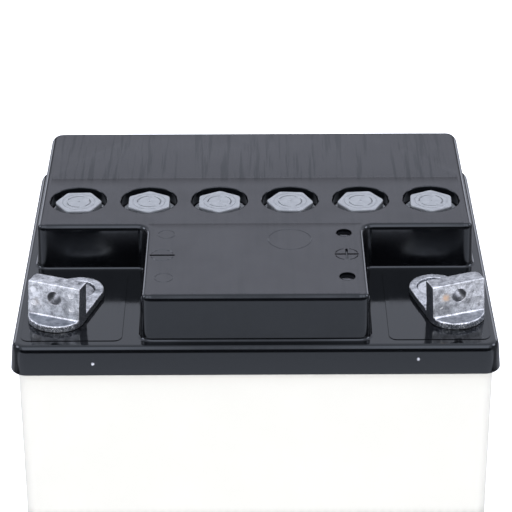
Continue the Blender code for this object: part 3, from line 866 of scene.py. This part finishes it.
def level_lines_mesh():
    """The two moulded level lines on the back of the jar, without lettering."""
    shell = Shell()
    ends = (-LEVEL_LINE_REACH, LEVEL_LINE_REACH)
    for z in LEVEL_LINES_Z:
        loops = []
        for level, out in ((-0.5, -0.3), (-0.2, 0.25), (0.2, 0.25), (0.5, -0.3)):
            loops.append(shell.loop([(x, CASE_HIGH.y + out * MM, z + level * MM) for x in ends]))
        for a, b in zip(loops, loops[1:] + loops[:1]):
            shell.faces.append((a[0], b[0], b[1], a[1]))
        shell.faces.append(tuple(p[0] for p in reversed(loops)))
        shell.faces.append(tuple(p[1] for p in loops))
    return shell.mesh("level_lines")


def hex_radius(angle, flats, sharpness=22):
    """The distance to a hexagon with soft corners, one corner on the X line."""
    total = 0.0
    for k in range(6):
        facing = math.cos(angle - math.radians(30 + 60 * k))
        total += max(facing, 0) ** sharpness
    return flats / 2 / total ** (1 / sharpness)


def plug_mesh():
    """A screw plug: soft-edged hexagon head, flange, threaded shank and slotted barrel."""
    shell = Shell()
    steps = 96
    angles = [2 * math.pi * i / steps for i in range(steps)]
    top, bottom = PLUG_HIGH.z, PLUG_LOW.z

    def at(value, a):
        return value(a) if callable(value) else value

    def ring(radius, z):
        points = ((at(radius, a), a, at(z, a)) for a in angles)
        return shell.loop([(r * math.cos(a), r * math.sin(a), height) for r, a, height in points])

    def hexagon(shrink):
        return lambda a: hex_radius(a, HEX_FLATS) - shrink * MM

    def threaded(z):
        def radius(a):
            phase = (z / THREAD_PITCH - a / (2 * math.pi)) % 1
            return SHANK_R - THREAD_H + THREAD_H * min(1, max(0, 1.6 - 5 * abs(phase - 0.5)))

        return radius

    path = [(PLUG_BORE_R, WELL_FLOOR_Z), (PLUG_BORE_R, bottom + 0.3 * MM), (PLUG_BORE_R + 0.3 * MM, bottom)]
    path += [(BARREL_R - 0.3 * MM, bottom), (BARREL_R, bottom + 0.3 * MM)]
    path += [(BARREL_R, NECK_BOTTOM_Z - 1 * MM), (SHANK_R - THREAD_H, NECK_BOTTOM_Z)]
    levels = [NECK_BOTTOM_Z + 0.4 * MM + 0.25 * MM * i for i in range(31)]
    path += [(threaded(z), z) for z in levels]
    path += [(SHANK_R - THREAD_H, levels[-1] + 0.3 * MM), (SHANK_R - THREAD_H, FLANGE_Z[0])]
    edge = 0.25 * MM
    path += [(FLANGE_R - edge, FLANGE_Z[0]), (FLANGE_R, FLANGE_Z[0] + edge), (FLANGE_R, FLANGE_Z[1] - edge)]
    path += [(FLANGE_R - edge, FLANGE_Z[1]), (hexagon(-0.25), FLANGE_Z[1])]
    path += [(hexagon(0), FLANGE_Z[1] + edge)]
    head_edge = 0.35
    for a in arc(4):
        path.append((hexagon(head_edge * (1 - math.cos(a))), top - head_edge * MM * (1 - math.sin(a))))
    path += [(hexagon(head_edge + 0.35), top)]
    # A fine ring and a deeper broken one in the head, then the dimple at its middle
    broken = {a: min(1, max(0, 0.5 + 4 * math.cos(3 * a + 0.6) + 3)) for a in angles}
    rings = ((5.95, 0.22, lambda a: 0.2), (4.25, 0.28, lambda a: 0.06 + 0.5 * broken[a]))
    for radius, half_width, depth in rings:
        for shift, share in ((1, 0), (0.4, 1), (-0.4, 1), (-1, 0)):
            reach = (radius + shift * half_width) * MM
            path.append((reach, lambda a, d=depth, s=share: top - d(a) * s * MM))
    path += [(0.6 * MM, top), (0.4 * MM, top - 0.25 * MM), (0.2 * MM, top - 0.35 * MM)]
    loops = [ring(radius, z) for radius, z in path]
    shell.join(*loops)
    shell.cap(loops[-1])
    shell.cap(loops[0], up=False)
    mesh = shell.mesh("plug", 40)
    slot_z = (bottom + NECK_BOTTOM_Z) / 2
    reach, half, height = SHANK_R, 1.2 * MM, 2.4 * MM
    slots = [
        block((-reach, -half, slot_z - height), (reach, half, slot_z + height)),
        block((-half, -reach, slot_z - height), (half, reach, slot_z + height)),
    ]
    mesh = combined(mesh, "DIFFERENCE", slots)
    smooth(mesh, 40)
    return mesh


def terminal_mesh(side):
    """A rough cast lead terminal: round-ended foot, and a flag with a bolt hole and ejector marks."""
    foot = Shell()
    lean = math.asin((TOE_R - LOBE_R) / LOBE_Y)
    points = []
    for centre_y, radius, start, end in (
        (0, TOE_R, math.pi + lean, 2 * math.pi - lean),
        (LOBE_Y, LOBE_R, -lean, math.pi + lean),
    ):
        for i in range(41):
            a = start + (end - start) * i / 40
            reach = TOE_REACH if centre_y == 0 and math.sin(a) < 0 else radius
            points.append((radius * math.cos(a), centre_y + reach * math.sin(a)))
    flat = np.array(points)
    out = flat - np.array([0, LOBE_Y / 2])
    out /= np.linalg.norm(out, axis=1)[:, None]
    levels = ((0.2, FOOT_LOW), (0, FOOT_LOW + 0.2 * MM), (0, FOOT_HIGH - 0.35 * MM), (0.35, FOOT_HIGH))
    loops = [foot.loop([(*p, z) for p in flat - out * inset * MM]) for inset, z in levels]
    foot.join(*loops)
    foot.fill(loops[0], up=False)
    foot.fill(loops[-1])

    flag = Shell()
    half, front, back = FLAG_WIDTH / 2, FLAG_FRONT_Y, FLAG_FRONT_Y + FLAG_T
    outer_r, edge_r = 2.0 * MM, 0.35 * MM
    outline = Outline(
        [
            (sx * half, back if sy > 0 else front, outer_r if (sx, sy) == (side, 1) else edge_r)
            for sx, sy in QUADRANTS
        ],
        arc_steps=4,
        spacing=3 * MM,
    )
    top = FLAG_TOP[side]
    stations = [(0, FOOT_LOW + 0.3 * MM), (-0.08, top * 0.5), (-0.12, top - 0.3 * MM), (-0.42, top)]
    loops = [flag.loop(outline.ring(offset * MM, z)) for offset, z in stations]
    for point in flag.points:
        point.z += FLAG_TOP_SLOPE[side] * point.x * point.z / top
        point.x += FLAG_LEAN[side] * max(point.z - FOOT_HIGH, 0)
    flag.join(*loops)
    flag.fill(loops[0], up=False)
    flag.faces.append(tuple(loops[-1]))
    bead = rod((0, front, FOOT_HIGH + 0.05 * MM), 0.27 * MM, FLAG_WIDTH - 0.6 * MM, (1, 0, 0), 12)
    mesh = combined(foot.mesh("foot"), "UNION", [flag.mesh("flag"), bead])
    hole_x, hole_z = BOLT_HOLE[side]
    cutters = [
        rod((hole_x, 0, hole_z), BOLT_HOLE_R, 3 * FLAG_T, (0, 1, 0)),
        rod((0, LOBE_Y, FOOT_HIGH), POST_HOLE_R[side], 3 * FOOT_HIGH, (0, 0, 1)),
    ]
    for x, z in DISCS:
        cutters.append(rod((x, front, z), DISC_R, 0.5 * MM, (0, 1, 0), 24))
    mesh = combined(mesh, "DIFFERENCE", cutters)
    holder = bpy.data.objects.new("terminal", mesh)
    remesh = holder.modifiers.new("Remesh", "REMESH")
    remesh.mode = "VOXEL"
    remesh.voxel_size = 0.2 * MM
    relax = holder.modifiers.new("Smooth", "SMOOTH")
    relax.factor, relax.iterations = 0.5, 1
    mesh = evaluated(holder)
    store_tones(mesh, side)
    roughen(mesh, seed=side * 7.3)
    yaw = Matrix.Rotation(FLAG_YAW[side], 4, "Z")
    mesh.transform(Matrix.Translation((*FLAG_CENTRE[side], LEDGE_Z)) @ yaw)
    mesh.shade_smooth()
    return mesh


def store_tones(mesh, side):
    """Keeps at each point how light, how blue and how grainy the casting's face is there, with painted
    shade on the back, the inner and foot sides and in the bolt hole, and a painted highlight along the
    edges.
    """
    tones = mesh.attributes.new(TONES, "FLOAT_COLOR", "POINT")
    hole_x, hole_z = BOLT_HOLE[side]
    face_tones_and_shade = FACE_TONES_AND_SHADE[side]
    for vertex, tone in zip(mesh.vertices, tones.data):
        p, n = vertex.co, vertex.normal
        on_flag = p.z > FOOT_HIGH + 0.25 * MM
        # Each face picks its tone; the back, inner sides, foot sides and bore carry painted shade
        if math.hypot(p.x - hole_x, p.z - hole_z) < BOLT_HOLE_R + 0.1 * MM and on_flag:
            face = "bore"
        elif n.z > 0.7:
            face = "flag_top" if p.z > 12 * MM else ("toe_top" if p.y < FLAG_FRONT_Y else "lobe_top")
        elif not on_flag:
            inner = n.x * side < -0.35 and p.y > -4 * MM
            face = "inner_side" if inner else "foot_side"
        elif n.y < -0.7:
            on_disc = min(math.hypot(p.x - x, p.z - z) for x, z in DISCS) < DISC_R - 0.1 * MM
            face = "disc" if on_disc else "front"
        elif n.x * side < -0.6:
            face = "inner_side"
        else:
            face = "back"
        light, blue, grainy = face_tones_and_shade[face]
        # Painted highlight: points on rounded edges are lightened towards the edge highlight tone
        flat = 1 - max(abs(n.z), math.hypot(n.x, n.y))
        if on_flag and face != "bore":
            flat = max(flat, 0.7 * (1 - max(abs(n.x), abs(n.y), abs(n.z))))
        edge = min(1, 3.0 * flat)
        tone.color = (light + (EDGE_HIGHLIGHT_TONE - light) * edge, blue * (1 - edge), grainy, 1)


def roughen(mesh, seed):
    """Moves the points of a casting in and out by hundredths of a millimetre, most on the foot's side."""
    shift = Vector((seed, 2 * seed, 3 * seed))
    for vertex, normal in zip(mesh.vertices, [v.normal.copy() for v in mesh.vertices]):
        p = vertex.co / MM
        low = noise.fractal(p * 0.45 + shift, 1.0, 2.0, 3)
        fine = noise.noise(p * 1.9 + shift)
        calm = 0.35 if normal.y < -0.8 else 1.0
        if vertex.co.z < FOOT_HIGH and abs(normal.z) < 0.6:
            calm = 2.6
        vertex.co += normal * MM * calm * (0.08 * low + 0.035 * fine)


def post_mesh(side):
    """The lead pillar up through the lid, with its melted top a little below the terminal's face."""
    shell = Shell()
    low, high = POST_BOX[side]
    centre = ((low.x + high.x) / 2, (low.y + high.y) / 2)
    top_r = POST_HOLE_R[side] - 0.35 * MM
    path = [(POST_FOOT_R, low.z), (POST_R, low.z + 3 * MM), (POST_R, LEDGE_Z - 0.6 * MM)]
    path += [(top_r, LEDGE_Z - 0.1 * MM), (top_r, POST_TOP_Z - 0.4 * MM), (top_r - 0.3 * MM, POST_TOP_Z)]
    path += [(3.4 * MM, POST_TOP_Z - 0.12 * MM), (1.6 * MM, POST_TOP_Z - 0.05 * MM)]
    loops = []
    for r, z in path:
        shift = POST_SHIFT[side] if z > LEDGE_Z else (0, 0)
        loops.append(shell.loop(circle((centre[0] + shift[0], centre[1] + shift[1]), r, z)))
    shell.join(*loops)
    shell.cap(loops[0], up=False)
    shell.cap(loops[-1])
    mesh = shell.mesh("post")
    even_tones(mesh, POST_TONES[side])
    return mesh


def even_tones(mesh, tone):
    """The same stored tone all over a lead piece."""
    tones = mesh.attributes.new(TONES, "FLOAT_COLOR", "POINT")
    for item in tones.data:
        item.color = (*tone, 1)


def add_pieces():
    lid = lid_material()
    piece("lid_shell", lid_mesh(), lid, "battery", ["lid"])
    piece("lid_pads", pads_mesh(), lid, "battery")
    dark, light = (0.10, 0.10, 0.11), (0.72, 0.73, 0.76)
    scuffed = grainy_material("gate_scuff", dark, light, 0.5 * MM, 0.4, 0.05 * MM)
    piece("lid_gates", gates_mesh(), scuffed, "battery")
    white = case_material()
    piece("case_jar", case_mesh(), white, "battery", ["case"])
    piece("case_level_lines", level_lines_mesh(), white, "battery")
    plug, grey = plug_mesh(), plug_material()
    for i, turn in enumerate(PLUG_TURNS_DEG):
        place = Matrix.Translation(PLUG_CENTRES[i]) @ Matrix.Rotation(math.radians(turn), 4, "Z")
        name = f"plug_{i + 1}"
        piece(f"filler_{name}", plug.copy(), grey, f"filler_{name}", [name], place)
    for side, pole in SIDES:
        lead = lead_material(f"lead_{pole}", STAINS[side])
        piece(f"flag_{pole}", terminal_mesh(side), lead, "battery", [f"terminal_{pole}"])
        piece(f"pillar_{pole}", post_mesh(side), lead, "battery", [f"post_{pole}"])


def dress_frame():
    """Materials for the CAD nodes that are shown as they are."""
    lead = lead_material("lead_inner")
    finishes = [("cell_link", lead), ("bushing", lead)]
    # Nodes, material, dark tone, light tone, grain size, roughness, bump height
    for start, name, dark, light, size, roughness, height in (
        ("plug_seal", "seal_rubber", (0.012, 0.012, 0.013), (0.03, 0.03, 0.032), 0.4, 0.6, 0.02),
        ("flame_arrestor", "frit_grey", (0.10, 0.10, 0.11), (0.22, 0.22, 0.23), 0.25, 0.9, 0.08),
        ("negative_plates", "plate_grey", (0.20, 0.21, 0.22), (0.33, 0.34, 0.36), 0.6, 0.85, 0.05),
        ("positive_plates", "plate_brown", (0.10, 0.05, 0.03), (0.20, 0.12, 0.08), 0.6, 0.9, 0.05),
        ("separator", "separator_pale", (0.66, 0.65, 0.61), (0.76, 0.75, 0.71), 0.5, 0.8, 0.02),
    ):
        finishes.append((start, grainy_material(name, dark, light, size * MM, roughness, height * MM)))
    for name, node in frame["nodes"].items():
        for start, material in finishes:
            if name.startswith(start):
                node.data.materials.clear()
                node.data.materials.append(material)


# Studio


def world_light():
    """Soft boxes as bright parts of the sky, and a small bright disc on either side."""
    world = bpy.data.worlds.new("studio")
    bpy.context.scene.world = world
    world.use_nodes = True
    sky = Graph(world.node_tree)
    x, y, z = sky.node("SeparateXYZ", {0: sky.node("TexCoord", output="Generated")}).node.outputs
    lean = sky.math("ABSOLUTE", x)
    roll = sky.math("DEGREES", sky.math("ARCTAN2", z, y))

    def window(value, low, high, soft):
        return sky.product(sky.range(value, low - soft, low), sky.range(value, high, high + soft, 1, 0))

    level = SKY_BASE
    for box_level, rolls, leans in SKY:
        level = sky.total(level, sky.product(window(roll, *rolls), window(lean, *leans), box_level))
    towards = sky.total(*[sky.product(part, share) for part, share in zip((lean, y, z), DISC_SHARES)])
    level = sky.total(level, sky.range(towards, *DISC_EDGE, 0, DISC_LEVEL))
    sky.put(level, sky.nodes["Background"].inputs["Strength"])
    sky.put(SKY_TINT, sky.nodes["Background"].inputs["Color"])


def studio():
    world_light()
    white = {"Emission_Color": (1.0, 1.0, 1.0), "Emission_Strength": 0.55, "Specular_IOR_Level": 0.0}
    floor_shade = Shade("floor_white", Base_Color=(0.93, 0.93, 0.93), Roughness=0.9, **white)
    shell = Shell()
    shell.cap(shell.loop(circle((0, 0), STAGE_SIZE, 0, 96)))
    floor = bpy.data.objects.new("floor", shell.mesh("floor"))
    floor.data.materials.append(floor_shade.material)
    floor.visible_glossy = False
    white = {"Emission_Color": (1.0, 1.0, 1.0), "Emission_Strength": 1.0}
    glow = Shade("backdrop_white", Base_Color=(0, 0, 0), Roughness=1.0, **white)
    shell = Shell()
    shell.turned((0, 0), ((STAGE_SIZE, STAGE_SIZE), (STAGE_SIZE, 0)), 96)
    backdrop = bpy.data.objects.new("backdrop", shell.mesh("backdrop"))
    backdrop.data.materials.append(glow.material)
    for kind in ("diffuse", "glossy", "transmission", "shadow"):
        setattr(backdrop, f"visible_{kind}", False)
    for obj in (floor, backdrop):
        bpy.context.scene.collection.objects.link(obj)

    lit_names = {
        "jar": ("floor", "case_jar", "case_level_lines"),
        "lead": [f"{kind}_{pole}" for kind in ("flag", "pillar") for _, pole in SIDES],
    }
    for target, bearing, power in FILLS:
        lamp = bpy.data.lights.new("fill", "AREA")
        lamp.shape, lamp.energy = "RECTANGLE", power
        lamp.size, lamp.size_y = FILL_SIZE
        fill = bpy.data.objects.new("fill", lamp)
        around = Matrix.Rotation(math.radians(bearing), 4, "Z")
        tilt = Matrix.Rotation(math.radians(FILL_TILT_DEG), 4, "X")
        fill.matrix_world = around @ Matrix.Translation(FILL_PLACE) @ tilt
        lit = bpy.data.collections.new("fill_receivers")
        for name in lit_names[target]:
            lit.objects.link(bpy.data.objects[name])
        fill.light_linking.receiver_collection = lit
        bpy.context.scene.collection.objects.link(fill)


def camera():
    lens = bpy.data.cameras.new("camera")
    lens.sensor_width, lens.lens = SENSOR, LENS
    lens.clip_start, lens.clip_end = 0.05, 30
    obj = bpy.data.objects.new("camera", lens)
    place = Matrix.Translation(CAMERA_PLACE)
    for degrees, axis in CAMERA_TURNS_DEG:
        place = place @ Matrix.Rotation(math.radians(degrees), 4, axis)
    obj.matrix_world = place
    bpy.context.scene.collection.objects.link(obj)
    bpy.context.scene.camera = obj


add_pieces()
dress_frame()
studio()
camera()
bpy.context.scene.view_settings.view_transform = "Standard"
